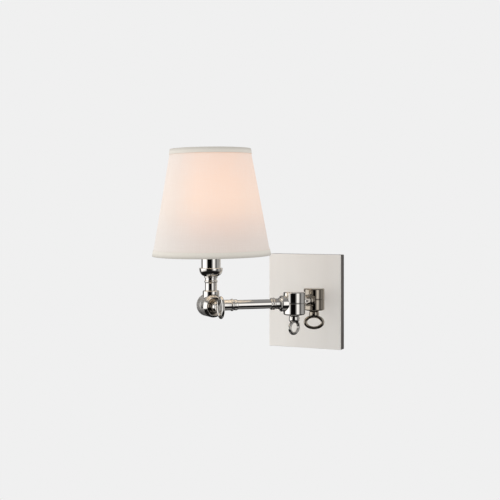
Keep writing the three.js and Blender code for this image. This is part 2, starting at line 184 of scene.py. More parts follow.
# ---- materials ---------------------------------------------------------------------------
def polished_nickel(name="nickel", tint=(0.845, 0.82, 0.785), blur=0.0):
    # Bright nickel plate on turned brass: faint turning lines round each piece,
    # a slight haze that varies, and a touch of warmth.
    m, t, b = new_mat(name)
    b.inputs["Metallic"].default_value = 1.0
    uv = coords(t, "UV", (2.0, 9000.0, 1.0))
    lines = noise(t, uv, 1.0, 3.0, 0.6)
    ob = coords(t, "Object")
    haze = noise(t, ob, 160.0, 5.0, 0.6)
    fine = noise(t, ob, 2600.0, 2.0, 0.5)
    r = math_node(t, "ADD", remap(t, haze, 0.3, 0.7, 0.022 + blur, 0.05 + blur), remap(t, lines, 0.3, 0.7, -0.006, 0.014))
    t.links.new(r, b.inputs["Roughness"])
    col = mix(t, remap(t, haze, 0.35, 0.75, 0.0, 1.0), tint, tuple(c * k for c, k in zip(tint, (0.975, 0.96, 0.94))))
    t.links.new(col, b.inputs["Base Color"])
    n1 = bump(t, lines, 0.10, 0.00001)
    n2 = bump(t, fine, 0.05, 0.00001, n1)
    t.links.new(n2, b.inputs["Normal"])
    return m


def satin_plate(name="plate_nickel", metal=0.20, lo=(0.975, 0.945, 0.898), hi=(0.94, 0.905, 0.855), rough=0.46):
    # Pressed plate, plated and softly polished: a fine upright grain and slow,
    # shallow waves left by the press.
    m, t, b = new_mat(name)
    b.inputs["Metallic"].default_value = metal
    ob = coords(t, "Object", (5200.0, 900.0, 60.0))
    grain = noise(t, ob, 1.0, 4.0, 0.65)
    wide = noise(t, coords(t, "Object", (46.0, 10.0, 5.0)), 1.0, 3.0, 0.5)
    r = math_node(t, "ADD", remap(t, grain, 0.3, 0.7, rough - 0.04, rough + 0.04), remap(t, wide, 0.3, 0.7, -0.02, 0.02))
    t.links.new(r, b.inputs["Roughness"])
    col = mix(t, remap(t, wide, 0.3, 0.7, 0.0, 1.0), lo, hi)
    col = mix(t, remap(t, grain, 0.35, 0.75, 0.0, 0.06), col, (0.6, 0.57, 0.53))
    t.links.new(col, b.inputs["Base Color"])
    n1 = bump(t, grain, 0.05, 0.00002)
    n2 = bump(t, wide, 0.06, 0.0006, n1)
    t.links.new(n2, b.inputs["Normal"])
    return m


def zinc_steel():
    m, t, b = new_mat("zinc_steel")
    b.inputs["Metallic"].default_value = 1.0
    ob = coords(t, "Object")
    v = node(t, "ShaderNodeTexVoronoi", Scale=420.0)
    t.links.new(ob, v.inputs["Vector"])
    spangle = v.outputs["Distance"]
    n = noise(t, ob, 900.0, 4.0, 0.6)
    t.links.new(mix(t, remap(t, spangle, 0.0, 0.6, 0.0, 1.0), (0.62, 0.63, 0.64), (0.74, 0.75, 0.76)), b.inputs["Base Color"])
    t.links.new(remap(t, n, 0.3, 0.7, 0.28, 0.46), b.inputs["Roughness"])
    t.links.new(bump(t, n, 0.15, 0.00003), b.inputs["Normal"])
    return m


def brass():
    m, t, b = new_mat("brass")
    b.inputs["Metallic"].default_value = 1.0
    ob = coords(t, "Object")
    n = noise(t, ob, 500.0, 4.0, 0.6)
    t.links.new(mix(t, remap(t, n, 0.35, 0.7, 0.0, 1.0), (0.80, 0.60, 0.28), (0.60, 0.42, 0.18)), b.inputs["Base Color"])
    t.links.new(remap(t, n, 0.3, 0.7, 0.22, 0.42), b.inputs["Roughness"])
    t.links.new(bump(t, n, 0.12, 0.00003), b.inputs["Normal"])
    return m


def weave(t, pitch_mm, slub=1.0):
    # Plain weave from UV in metres: warp and weft threads pass over and under
    # each other, and each thread swells here and there into a slub.
    tc = t.nodes.new("ShaderNodeTexCoord")
    sep = t.nodes.new("ShaderNodeSeparateXYZ")
    t.links.new(tc.outputs["UV"], sep.inputs[0])
    k = 2 * math.pi / (pitch_mm * MM)
    wob = noise(t, coords(t, "UV", (260.0, 260.0, 1.0)), 1.0, 3.0, 0.5)
    wob = remap(t, wob, 0.0, 1.0, -0.9, 0.9)
    su = math_node(t, "ADD", math_node(t, "MULTIPLY", sep.outputs["X"], k), wob)
    sv = math_node(t, "ADD", math_node(t, "MULTIPLY", sep.outputs["Y"], k), wob)
    half_u = math_node(t, "SINE", math_node(t, "MULTIPLY", su, 0.5))
    half_v = math_node(t, "SINE", math_node(t, "MULTIPLY", sv, 0.5))
    over = math_node(t, "MULTIPLY", half_u, half_v)
    warp = math_node(t, "ABSOLUTE", half_u)
    weft = math_node(t, "ABSOLUTE", half_v)
    threads = math_node(t, "ADD", math_node(t, "MULTIPLY", warp, 0.5), math_node(t, "MULTIPLY", weft, 0.5))
    height = math_node(t, "ADD", threads, math_node(t, "MULTIPLY", over, 0.35))
    s1 = noise(t, coords(t, "UV", (1.0 / (pitch_mm * MM), 40.0, 1.0)), 1.0, 2.0, 0.5)
    s2 = noise(t, coords(t, "UV", (40.0, 1.0 / (pitch_mm * MM), 1.0)), 1.0, 2.0, 0.5)
    slubs = math_node(t, "ADD", remap(t, s1, 0.5, 0.8, 0.0, 1.0), remap(t, s2, 0.5, 0.8, 0.0, 1.0))
    height = math_node(t, "ADD", height, math_node(t, "MULTIPLY", slubs, 0.4 * slub))
    return height, slubs


def linen(name, base, glow_at=None, glow_strength=0.0, pitch=0.55, liner=False, fold=0.0):
    m, t, b = new_mat(name)
    height, slubs = weave(t, pitch)
    cloud = noise(t, coords(t, "Object"), 38.0, 4.0, 0.55)
    # the weave's low places are painted darker as shade between threads; the cloudy mottle is the cloth's own uneven
    # tone
    weave_shade_and_mottle = tuple(c * k for c, k in zip(base, (0.93, 0.915, 0.89)))
    col = mix(t, remap(t, height, 0.1, 1.2, 0.0, 1.0), weave_shade_and_mottle, base)
    col = mix(t, remap(t, slubs, 0.0, 1.2, 0.0, 0.35), col, tuple(min(1.0, c * 1.05) for c in base))
    col = mix(t, remap(t, cloud, 0.35, 0.7, 0.0, 0.35), col, weave_shade_and_mottle)
    if fold:
        # the folded tape greys towards its edge, where it turns away from the light
        tf = t.nodes.new("ShaderNodeTexCoord")
        sf = t.nodes.new("ShaderNodeSeparateXYZ")
        t.links.new(tf.outputs["UV"], sf.inputs[0])
        grey = ramp(t, math_node(t, "DIVIDE", sf.outputs["Y"], fold), [(0.0, 1.03), (0.45, 1.0), (0.75, 0.88), (1.0, 0.74)])
        col = mix(t, 1.0, col, grey, "MULTIPLY")
    t.links.new(col, b.inputs["Base Color"])
    b.inputs["Roughness"].default_value = 0.92
    b.inputs["Specular IOR Level"].default_value = 0.18
    b.inputs["Sheen Weight"].default_value = 0.12
    b.inputs["Sheen Roughness"].default_value = 0.5
    t.links.new(bump(t, height, 0.35, 0.00012), b.inputs["Normal"])
    if glow_at:
        # Light from the bulb soaks through the cloth: strongest level with the
        # bulb, fading towards the hem, and a little less through thick threads.
        tc = t.nodes.new("ShaderNodeTexCoord")
        sep = t.nodes.new("ShaderNodeSeparateXYZ")
        t.links.new(tc.outputs["UV"], sep.inputs[0])
        z01 = math_node(t, "DIVIDE", sep.outputs["Y"], 0.1443)
        g = ramp(t, z01, glow_at)
        # one side glows less, to match the look; the bulb itself is modelled on the axis
        side = ramp(t, math_node(t, "DIVIDE", sep.outputs["X"], 0.4237), [(0.0, 0.8), (0.13, 0.7), (0.2, 0.42), (0.283, 0.32), (0.334, 0.36),
                    (0.416, 0.50), (0.489, 0.92), (0.538, 1.0), (0.60, 1.0), (0.66, 0.86), (0.72, 0.80), (1.0, 0.8)])
        g = mix(t, 1.0, g, side, "MULTIPLY")
        thick = remap(t, math_node(t, "ADD", slubs, math_node(t, "MULTIPLY", height, 0.5)), 0.0, 1.6, 1.04, 0.93)
        g = mix(t, 1.0, g, thick, "MULTIPLY")
        g = mix(t, 1.0, g, remap(t, cloud, 0.3, 0.7, 0.96, 1.04), "MULTIPLY")
        t.links.new(g, b.inputs["Emission Color"])
        b.inputs["Emission Strength"].default_value = glow_strength
    return m


def painted_wire():
    m, t, b = new_mat("shade_wire")
    ob = coords(t, "Object")
    n = noise(t, ob, 700.0, 4.0, 0.6)
    t.links.new(mix(t, remap(t, n, 0.3, 0.7, 0.0, 1.0), (0.86, 0.85, 0.81), (0.78, 0.77, 0.73)), b.inputs["Base Color"])
    t.links.new(remap(t, n, 0.3, 0.7, 0.34, 0.5), b.inputs["Roughness"])
    t.links.new(bump(t, n, 0.2, 0.00004), b.inputs["Normal"])
    return m


def bulb_glass():
    # A lit candle bulb with an opal inside: warm at the neck, whiter at the belly.
    m, t, b = new_mat("bulb_glass")
    ob = coords(t, "Object")
    n = noise(t, ob, 120.0, 3.0, 0.5)
    t.links.new(mix(t, remap(t, n, 0.3, 0.7, 0.0, 1.0), (0.96, 0.92, 0.85), (0.99, 0.96, 0.90)), b.inputs["Base Color"])
    t.links.new(remap(t, n, 0.3, 0.7, 0.12, 0.2), b.inputs["Roughness"])
    b.inputs["Coat Weight"].default_value = 0.6
    b.inputs["Coat Roughness"].default_value = 0.04
    tc = t.nodes.new("ShaderNodeTexCoord")
    sep = t.nodes.new("ShaderNodeSeparateXYZ")
    t.links.new(tc.outputs["UV"], sep.inputs[0])
    g = ramp(t, math_node(t, "DIVIDE", sep.outputs["Y"], 0.09), [(0.0, (0.55, 0.30, 0.13)), (0.25, (1.0, 0.70, 0.42)),
             (0.5, (1.0, 0.86, 0.66)), (0.8, (1.0, 0.78, 0.52)), (1.0, (0.9, 0.58, 0.32))])
    t.links.new(g, b.inputs["Emission Color"])
    b.inputs["Emission Strength"].default_value = 1.3
    return m


def phenolic():
    m, t, b = new_mat("socket_phenolic")
    ob = coords(t, "Object")
    n = noise(t, ob, 900.0, 5.0, 0.6)
    t.links.new(mix(t, remap(t, n, 0.4, 0.7, 0.0, 1.0), (0.035, 0.03, 0.027), (0.06, 0.052, 0.045)), b.inputs["Base Color"])
    t.links.new(remap(t, n, 0.3, 0.7, 0.35, 0.55), b.inputs["Roughness"])
    t.links.new(bump(t, n, 0.2, 0.00004), b.inputs["Normal"])
    return m


def lead_sleeve():
    m, t, b = new_mat("lead_sleeve")
    n = noise(t, coords(t, "Object"), 1200.0, 4.0, 0.6)
    t.links.new(mix(t, n, (0.02, 0.02, 0.022), (0.045, 0.045, 0.048)), b.inputs["Base Color"])
    t.links.new(remap(t, n, 0.3, 0.7, 0.45, 0.62), b.inputs["Roughness"])
    t.links.new(bump(t, n, 0.2, 0.00005), b.inputs["Normal"])
    return m


LINEN = (0.86, 0.825, 0.785)
GLOW = [(0.0, (0.05, 0.012, 0.0)), (0.15, (0.09, 0.02, 0.0)), (0.30, (0.19, 0.055, 0.006)), (0.42, (0.29, 0.105, 0.022)),
        (0.55, (0.34, 0.13, 0.035)), (0.70, (0.33, 0.122, 0.03)), (0.88, (0.29, 0.10, 0.022)), (1.0, (0.22, 0.075, 0.012))]
M = {
    "nickel": polished_nickel(),
    # a darker, browner copy of the nickel: painted shade and painted dim reflection on the wall-side parts
    "painted_shade_nickel": polished_nickel("nickel_painted_shade", (0.43, 0.385, 0.325)),
    # a dark copy of the nickel: painted shade in the shade knuckle's dished face
    "painted_dark_face": polished_nickel("nickel_painted_dark_face", (0.30, 0.265, 0.225)),
    # rougher nickel with a lighter tint: the roughness is the finish, the lighter tint is painted light on the
    # knuckles' round sides
    "satin_lit": polished_nickel("nickel_satin_lit", (0.93, 0.905, 0.87), 0.36),
    "plate": satin_plate(),
    "plate_rim": satin_plate("plate_rim", 1.0, (0.62, 0.585, 0.54), (0.58, 0.545, 0.50), 0.34),
    "steel": zinc_steel(),
    "brass": brass(),
    "linen": linen("linen", LINEN, GLOW, 1.0),
    "liner": linen("liner", (0.86, 0.84, 0.80), [(0.0, (0.34, 0.29, 0.245)), (0.5, (0.60, 0.52, 0.45)), (1.0, (0.46, 0.40, 0.34))], 0.22, 0.8),
    "tape": linen("trim_tape", (0.86, 0.82, 0.75), None, 0.0, 0.45, fold=0.0068),
    "wire": painted_wire(),
    "glass": bulb_glass(),
    "phenolic": phenolic(),
    "lead": lead_sleeve(),
}
CAD_MATS = {
    "plate": ["wall_plate"],
    "steel": ["mounting_strap", "mounting_nipple", "stem_nipple", "set_screw"],
    "brass": ["lock_nut", "cup_nut", "knuckle_a_washer", "knuckle_b_washer", "knuckle_c_washer", "socket_shell", "socket_contact", "bulb_base"],
    "lead": ["wall_lead", "link_lead", "arm_lead", "stem_lead"],
    "phenolic": ["socket_body"],
    "wire": ["shade_bottom_ring", "shade_top_ring", "shade_carrier"],
    "linen": ["shade_skin"],
    "tape": ["shade_bottom_trim", "shade_top_trim"],
    "glass": ["lamp_bulb"],
}
for key, names in CAD_MATS.items():
    for n in names:
        ob = frame["nodes"][n]
        ob.data.materials.clear()
        ob.data.materials.append(M[key])
for n, ob in frame["nodes"].items():
    if not any(n in v for v in CAD_MATS.values()):
        ob.data.materials.clear()
        ob.data.materials.append(M["nickel"])

# ---- mesh helpers --------------------------------------------------------------------------
def T(x, y, z):
    return Matrix.Translation((x, y, z))


def RX(a):
    return Matrix.Rotation(a * D, 4, "X")


def RY(a):
    return Matrix.Rotation(a * D, 4, "Y")


def RZ(a):
    return Matrix.Rotation(a * D, 4, "Z")


ALONG_X = RY(90)
FA = T(A_X, -(PLATE_T + A_OUT), KZ)
FB = T(A_X, -(PLATE_T + A_OUT) - LINK, KZ)
YC = (ARM_YAW + TURN_C) * D     # the shade knuckle is turned a little from square to the arm
FC = Matrix(((math.cos(YC), 0, math.sin(YC), CX), (math.sin(YC), 0, -math.cos(YC), CY),
             (0, 1, 0, KZ), (0, 0, 0, 1)))
WALL = FA @ RZ(90)
LINKM = FA @ RZ(-90)
BACK = FB @ RZ(90)
ARMM = FB @ RZ(180 + ARM_YAW)
FAR = ARMM @ T(ARM, 0, 0) @ RZ(180) @ RX(90)
NECK = FC @ RZ(90)
HEAD = T(CX, CY, KZ)
# the visible shade alone leans, to match the curve of its hem and top edge; the CAD shade is upright
SHADE = HEAD @ T(0, 0, 138) @ Matrix.Rotation(1.2 * D, 4, rgt) @ Matrix.Rotation(-0.65 * D, 4, fwd) @ T(0, 0, -138)


def build(name, verts, faces, uvs, mat, body, matrix=None, replaces=(), slot=None, sharp=35.0, mats=None, face_mats=None):
    me = bpy.data.meshes.new(name)
    v = np.array(verts, float)
    if matrix is not None:
        a = np.array(matrix)
        v = v @ a[:3, :3].T + a[:3, 3]
    me.from_pydata((v * MM).tolist(), [], faces)
    if uvs is not None:
        layer = me.uv_layers.new(name="UVMap")
        k = 0
        for f, fuv in zip(faces, uvs):
            for c in fuv:
                layer.data[k].uv = c
                k += 1
    ob = bpy.data.objects.new(name, me)
    bpy.context.scene.collection.objects.link(ob)
    for mm in (mats or [mat]):
        me.materials.append(mm)
    if face_mats is not None:
        me.polygons.foreach_set("material_index", face_mats)
    fix_normals(me)
    smooth(me, sharp)
    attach(ob, body)
    if replaces:
        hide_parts(*replaces)
    return ob


def fix_normals(me):
    bm = bmesh.new()
    bm.from_mesh(me)
    bmesh.ops.remove_doubles(bm, verts=bm.verts, dist=1e-7)
    bmesh.ops.recalc_face_normals(bm, faces=bm.faces)
    if bm.calc_volume(signed=True) < 0:
        bmesh.ops.reverse_faces(bm, faces=bm.faces)
    bm.to_mesh(me)
    bm.free()
    me.update()


def smooth(me, sharp):
    for p in me.polygons:
        p.use_smooth = True
    me.set_sharp_from_angle(angle=sharp * D)


def fillet(pts, radius, n=4, closed=False):
    # Rounds the corners of a profile of [r, z] pairs. radius is one number, or a
    # dict of corner number to radius with "*" for the rest.
    out = []
    m = len(pts)
    for i, p in enumerate(pts):
        if not closed and (i == 0 or i == m - 1):
            out.append(p)
            continue
        r = radius.get(i, radius.get("*", 0.0)) if isinstance(radius, dict) else radius
        a, c = Vector(pts[i - 1]), Vector(pts[(i + 1) % m])
        b = Vector(p)
        u, w = a - b, c - b
        lu, lw = u.length, w.length
        if r <= 0 or lu < 1e-6 or lw < 1e-6:
            out.append(p)
            continue
        u, w = u / lu, w / lw
        cosang = max(-1.0, min(1.0, u.dot(w)))
        ang = math.acos(cosang)
        if ang > math.pi - 0.06 or ang < 0.05:
            out.append(p)
            continue
        d = min(r / math.tan(ang / 2), 0.48 * lu, 0.48 * lw)
        rr = d * math.tan(ang / 2)
        centre = b + (u + w).normalized() * (rr / math.sin(ang / 2))
        s, e = b + u * d - centre, b + w * d - centre
        a0, a1 = math.atan2(s.y, s.x), math.atan2(e.y, e.x)
        da = (a1 - a0 + math.pi) % (2 * math.pi) - math.pi
        k = max(2, int(math.ceil(abs(da) / (math.pi / 2) * n)))
        for j in range(k + 1):
            t = a0 + da * j / k
            out.append([centre.x + rr * math.cos(t), centre.y + rr * math.sin(t)])
    return out


def lathe_data(profile, n=96, closed=False, phase=0.0):
    # Turned surface about +Z with UV = (arc length round the piece, length along the profile), metres.
    prof = [tuple(p) for p in profile]
    clean = [prof[0]]
    for p in prof[1:]:
        if math.dist(p, clean[-1]) > 1e-5:
            clean.append(p)
    if closed and math.dist(clean[0], clean[-1]) < 1e-5:
        clean.pop()
    prof = clean
    m = len(prof)
    length = [0.0]
    for i in range(1, m + 1):
        length.append(length[-1] + math.dist(prof[i - 1], prof[i % m]))
    verts, idx = [], []
    for r, z in prof:
        if r < 1e-6:
            idx.append([len(verts)] * n)
            verts.append((0, 0, z))
        else:
            idx.append(list(range(len(verts), len(verts) + n)))
            for k in range(n):
                a = phase + 2 * math.pi * k / n
                verts.append((r * math.cos(a), r * math.sin(a), z))
    faces, uvs = [], []
    last = m if closed else m - 1
    rr = max(p[0] for p in prof) * MM
    for i in range(last):
        j = (i + 1) % m
        for k in range(n):
            k2 = (k + 1) % n
            f = [idx[i][k], idx[i][k2], idx[j][k2], idx[j][k]]
            u0, u1 = 2 * math.pi * rr * k / n, 2 * math.pi * rr * (k + 1) / n
            w0, w1 = length[i] * MM, length[i + 1] * MM
            uv = [(u0, w0), (u1, w0), (u1, w1), (u0, w1)]
            g, h = [], []
            for a, b in zip(f, uv):
                if a not in g:
                    g.append(a)
                    h.append(b)
            if len(g) >= 3:
                faces.append(g)
                uvs.append(h)
    return verts, faces, uvs


def turned(name, profile, mat, body, matrix, replaces=(), slot=None, n=96, closed=False, sharp=35.0):
    v, f, u = lathe_data(profile, n, closed)
    return build(name, v, f, u, mat, body, matrix, replaces, slot, sharp)


def saddle_piece(name, profile, bore, mat, body, matrix, replaces=(), slot=None, n=128, edge=0.3, skew=0.0):
    # A turned collar about +X whose near end fits a knuckle of radius SADDLE about Z.
    # profile runs [x, r] from just past the saddle to the far end's outer corner.
    r0 = profile[0][1]
    x_far = profile[-1][0]
    verts, faces, uvs = [], [], []
    rows = []

    def sx(r, phi):
        # where the collar's side meets a knuckle whose axis leans by skew towards the collar
        if not skew:
            return math.sqrt(SADDLE ** 2 - (r * math.cos(phi)) ** 2)
        s_, c_ = math.sin(skew * D), math.cos(skew * D)
        k = s_ * c_ * r * math.sin(phi)
        return (k + math.sqrt(k * k - c_ * c_ * (r * r - (c_ * r * math.sin(phi)) ** 2 - SADDLE ** 2))) / (c_ * c_)

    def row(fn):
        rows.append([len(verts) + k for k in range(n)])
        for k in range(n):
            phi = 2 * math.pi * k / n
            x, r = fn(phi)
            verts.append((x, r * math.cos(phi), r * math.sin(phi)))

    for q in range(7):
        r = bore + (r0 - edge - bore) * q / 6
        row(lambda phi, r=r: (sx(r, phi), r))
    for q in range(1, 5):
        a = q / 4 * math.pi / 2
        row(lambda phi, a=a: (sx(r0 - edge * (1 - math.sin(a)), phi) + edge * (1 - math.cos(a)), r0 - edge * (1 - math.sin(a))))
    x1 = SADDLE + (1.6 if skew else 0.6)
    for q in range(1, 5):
        k = q / 5
        row(lambda phi, k=k: ((sx(r0, phi) + edge) * (1 - k) + x1 * k, r0))
    for x, r in profile:
        if x >= x1 - 1e-6:
            row(lambda phi, x=x, r=r: (x, r))
    row(lambda phi: (x_far, bore))
    m = len(rows)
    run = [0.0]
    for i in range(1, m + 1):
        a, b = verts[rows[i - 1][0]], verts[rows[i % m][0]]
        run.append(run[-1] + math.dist(a, b))
    for i in range(m):
        j = (i + 1) % m
        for k in range(n):
            k2 = (k + 1) % n
            faces.append([rows[i][k], rows[i][k2], rows[j][k2], rows[j][k]])
            u0, u1 = 2 * math.pi * r0 * MM * k / n, 2 * math.pi * r0 * MM * (k + 1) / n
            uvs.append([(u0, run[i] * MM), (u1, run[i] * MM), (u1, run[i + 1] * MM), (u0, run[i + 1] * MM)])
    return build(name, verts, faces, uvs, mat, body, matrix, replaces, slot, 38.0)


def hoop_data(path, normal, radius, around=96, sides=20):
    verts, faces, uvs = [], [], []
    e = 1e-4
    for i in range(around):
        u = i / around
        c, t = Vector(path(u)), (Vector(path(u + e)) - Vector(path(u - e))).normalized()
        nn = Vector(normal(u))
        a = (nn - t * nn.dot(t)).normalized()
        b = t.cross(a)
        ra, rb = radius(u)
        for j in range(sides):
            w = 2 * math.pi * j / sides
            verts.append(tuple(c + a * (ra * math.cos(w)) + b * (rb * math.sin(w))))
    for i in range(around):
        for j in range(sides):
            i2, j2 = (i + 1) % around, (j + 1) % sides
            faces.append([i * sides + j, i * sides + j2, i2 * sides + j2, i2 * sides + j])
            uvs.append([(j / sides * 0.014, i / around * 0.066), ((j + 1) / sides * 0.014, i / around * 0.066),
                        ((j + 1) / sides * 0.014, (i + 1) / around * 0.066), (j / sides * 0.014, (i + 1) / around * 0.066)])
    return verts, faces, uvs


def swept_data(points, radius, sides=12, cap=True):
    # A round wire along an open line of points, with rounded ends.
    pts = [Vector(p) for p in points]
    verts, faces, uvs = [], [], []
    n = len(pts)
    tang = [(pts[min(i + 1, n - 1)] - pts[max(i - 1, 0)]).normalized() for i in range(n)]
    ref = Vector((0, 0, 1)) if abs(tang[0].z) < 0.9 else Vector((1, 0, 0))
    a = (ref - tang[0] * ref.dot(tang[0])).normalized()
    rings = []
    seq = []
    if cap:
        for k in (0, 1, 2):
            q = (k + 0.35) / 3.35
            seq.append((pts[0] - tang[0] * radius * math.cos(q * math.pi / 2), tang[0], radius * math.sin(q * math.pi / 2)))
    for i in range(n):
        seq.append((pts[i], tang[i], radius))
    if cap:
        for k in (2, 1, 0):
            q = (k + 0.35) / 3.35
            seq.append((pts[-1] + tang[-1] * radius * math.cos(q * math.pi / 2), tang[-1], radius * math.sin(q * math.pi / 2)))
    for c, t, r in seq:
        a = (a - t * a.dot(t)).normalized()
        b = t.cross(a)
        rings.append([len(verts) + j for j in range(sides)])
        for j in range(sides):
            w = 2 * math.pi * j / sides
            verts.append(tuple(c + a * (r * math.cos(w)) + b * (r * math.sin(w))))
    for i in range(len(rings) - 1):
        for j in range(sides):
            j2 = (j + 1) % sides
            faces.append([rings[i][j], rings[i][j2], rings[i + 1][j2], rings[i + 1][j]])
            uvs.append([(0, i * .001), (.001, i * .001), (.001, (i + 1) * .001), (0, (i + 1) * .001)])
    faces.append(list(reversed(rings[0])))
    uvs.append([(0, 0)] * sides)
    faces.append(rings[-1])
    uvs.append([(0, 0)] * sides)
    return verts, faces, uvs


def boolean(a, b, op):
    # Exact boolean of b into a, applied; b is removed. Worked at millimetre scale,
    # where small crossings keep their precision.
    a.data.transform(Matrix.Scale(1000, 4))
    b.data.transform(Matrix.Scale(1000, 4))
    md = a.modifiers.new("bool", "BOOLEAN")
    md.operation, md.solver, md.object = op, "EXACT", b
    bpy.context.view_layer.update()
    dg = bpy.context.evaluated_depsgraph_get()
    me = bpy.data.meshes.new_from_object(a.evaluated_get(dg))
    a.modifiers.clear()
    clean = bmesh.new()
    clean.from_mesh(me)
    bmesh.ops.remove_doubles(clean, verts=clean.verts, dist=0.0005)
    bmesh.ops.dissolve_degenerate(clean, edges=clean.edges, dist=0.0005)
    clean.to_mesh(me)
    clean.free()
    me.transform(Matrix.Scale(0.001, 4))
    old = a.data
    a.data = me
    me.name = old.name
    bpy.data.objects.remove(b)
    return a


def temp(name, data, matrix):
    v, f, u = data
    me = bpy.data.meshes.new(name)
    a = np.array(matrix)
    v = np.array(v, float) @ a[:3, :3].T + a[:3, 3]
    me.from_pydata((v * MM).tolist(), [], f)
    layer = me.uv_layers.new(name="UVMap")
    k = 0
    for fuv in u:
        for c in fuv:
            layer.data[k].uv = c
            k += 1
    fix_normals(me)
    ob = bpy.data.objects.new(name, me)
    bpy.context.scene.collection.objects.link(ob)
    return ob


# ---- wall plate and its fittings --------------------------------------------------------------
def wall_plate():
    # Pressed pan: flat front, crisp edges with a small radius, open back.
    bm = bmesh.new()
    bmesh.ops.create_cube(bm, size=1.0)
    bmesh.ops.scale(bm, verts=bm.verts, vec=(PLATE_W, PLATE_T, PLATE_H))
    bmesh.ops.translate(bm, verts=bm.verts, vec=(0, -PLATE_T / 2, 0))
    back = [f for f in bm.faces if f.normal.y > 0.9]
    sides = [e for e in bm.edges if abs(e.verts[0].co.y - e.verts[1].co.y) > 1]
    bmesh.ops.bevel(bm, geom=sides, offset=1.2, segments=4, profile=0.5, affect="EDGES")
    front = [e for e in bm.edges if all(v.co.y < -PLATE_T + 1e-4 for v in e.verts)]
    bmesh.ops.bevel(bm, geom=front, offset=0.7, segments=4, profile=0.5, affect="EDGES")
    back = [f for f in bm.faces if f.normal.y > 0.9]
    r = bmesh.ops.inset_individual(bm, faces=back, thickness=PLATE_WALL, use_even_offset=True)
    back = [f for f in bm.faces if f.normal.y > 0.9 and f.calc_area() > 5000]
    ex = bmesh.ops.extrude_face_region(bm, geom=back)
    moved = [g for g in ex["geom"] if isinstance(g, bmesh.types.BMVert)]
    bmesh.ops.delete(bm, geom=back, context="FACES")
    for v in moved:
        v.co.y = -PLATE_T + PLATE_WALL
    me = bpy.data.meshes.new("plate")
    bm.to_mesh(me)
    bm.free()
    me.transform(Matrix.Scale(MM, 4))
    fix_normals(me)
    ob = bpy.data.objects.new("plate", me)
    bpy.context.scene.collection.objects.link(ob)
    hole = temp("hole", lathe_data([[0, -40], [5.35, -40], [5.35, 40], [0, 40]], 64), T(A_X, 0, KZ) @ RX(90))
    boolean(ob, hole, "DIFFERENCE")
    ob.data.materials.clear()
    ob.data.materials.append(M["plate"])
    ob.data.materials.append(M["plate_rim"])
    for f in ob.data.polygons:
        f.material_index = 1 if abs(f.normal.y) < 0.5 else 0
    smooth(ob.data, 30)
    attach(ob, "base")
    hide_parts("wall_plate")
    return ob


wall_plate()
BOSS = [[x, r] for r, x in fillet([[8.4, 15.8], [8.2, 17.4], [7.0, 18.6], [6.9, A_OUT - 0.15], [5.4, A_OUT - 0.15]], {"*": 0.5, 3: 0.25})]
# the boss takes the darker nickel copy: painted shade beside the wall knuckle
saddle_piece("wall_boss", BOSS[:-1], 5.4, M["painted_shade_nickel"], "base", WALL, ["wall_collar"], "polished_nickel")
turned("nipple", fillet([[3.2, 18.8], [4.9, 18.8], [4.9, 36.7], [3.2, 36.7]], 0.3, closed=True), M["steel"], "base", WALL @ ALONG_X,
       ["mounting_nipple"], "zinc_steel", 48, True)


# ---- knuckles ---------------------------------------------------------------------------------
def half_profile(seam=0.07):
    # One half, from its split face out and round to its crowned end.
    pts = [[0, seam], [KN_R, seam], [KN_R, KN_HALF - 2.3], [KN_R - 0.7, KN_HALF - 1.0], [KN_R - 2.3, KN_HALF - 0.42], [0, KN_HALF]]
    prof = [[0, seam], [KN_R - 0.22, seam], [KN_R - 0.06, seam + 0.07], [KN_R, seam + 0.24]]
    prof += [[KN_R, KN_HALF * 0.3], [KN_R, KN_HALF - 2.45]]
    rc = 2.1
    cx_, cz_ = KN_R - rc, KN_HALF - 2.45
    for i in range(1, 11):
        a = i / 10 * 74 * D
        prof.append([cx_ + rc * math.cos(a), cz_ + rc * math.sin(a)])
    r1, z1 = prof[-1]
    for i in range(1, 9):
        k = i / 8
        prof.append([r1 * (1 - k), z1 + (KN_HALF - z1) * math.sin(k * math.pi / 2)])
    return prof


def nosed_profile(seam=0.07):
    # The shade knuckle's outer half: a long chamfer to a narrow rim, a face dished
    # inside the rim, and a low boss that the clamp screw's hub bears on.
    h = KN_HALF
    body = fillet([[0, h - 0.05], [6.1, h - 0.05], [6.7, h - 1.5], [7.6, h - 1.5], [11.4, h - 0.45], [12.3, h - 0.25], [13.05, h - 1.5],
                   [KN_R, h - 6.2], [KN_R, h * 0.3]], {1: 0.25, 2: 0.4, 3: 0.8, 4: 0.5, 5: 0.4, 6: 0.6, 7: 1.6})[::-1]
    return [[0, seam], [KN_R - 0.22, seam], [KN_R - 0.06, seam + 0.07], [KN_R, seam + 0.24]] + [list(q) for q in body]


def knuckle(name, matrix, up, body, node_name, mat="nickel", profile=None):
    mtx = matrix if up > 0 else matrix @ RX(180)
    return turned(name, profile or half_profile(), M[mat], body, mtx, [node_name], "polished_nickel", 160, sharp=50)


# the wall knuckle's halves take the darker nickel copy: painted shade and painted dim reflection
knuckle("wall_knuckle_upper", WALL, 1, "base", "knuckle_a_fixed_half", "painted_shade_nickel")
knuckle("wall_knuckle_lower", LINKM, -1, "link", "knuckle_a_link_half", "painted_shade_nickel")
knuckle("elbow_knuckle_upper", BACK, 1, "link", "knuckle_b_link_half")
knuckle("elbow_knuckle_lower", ARMM, -1, "arm", "knuckle_b_arm_half")
rear = knuckle("shade_knuckle_rear", FC, -1, "arm", "knuckle_c_arm_half")
front = knuckle("shade_knuckle_front", NECK, 1, "head", "knuckle_c_head_half", "nickel", nosed_profile())
# set-screw hole in the outer half, across from the arm, and its socket-headed screw
SCREW_Z = 5.4
hole = temp("hole", lathe_data(fillet([[0, 11.2], [2.7, 11.5], [2.7, 18], [0, 18]], {1: 0.2}), 48), NECK @ RZ(90) @ T(0, 0, SCREW_Z) @ ALONG_X)
boolean(front, hole, "DIFFERENCE")
front.data.materials.clear()
front.data.materials.append(M["nickel"])
smooth(front.data, 40)
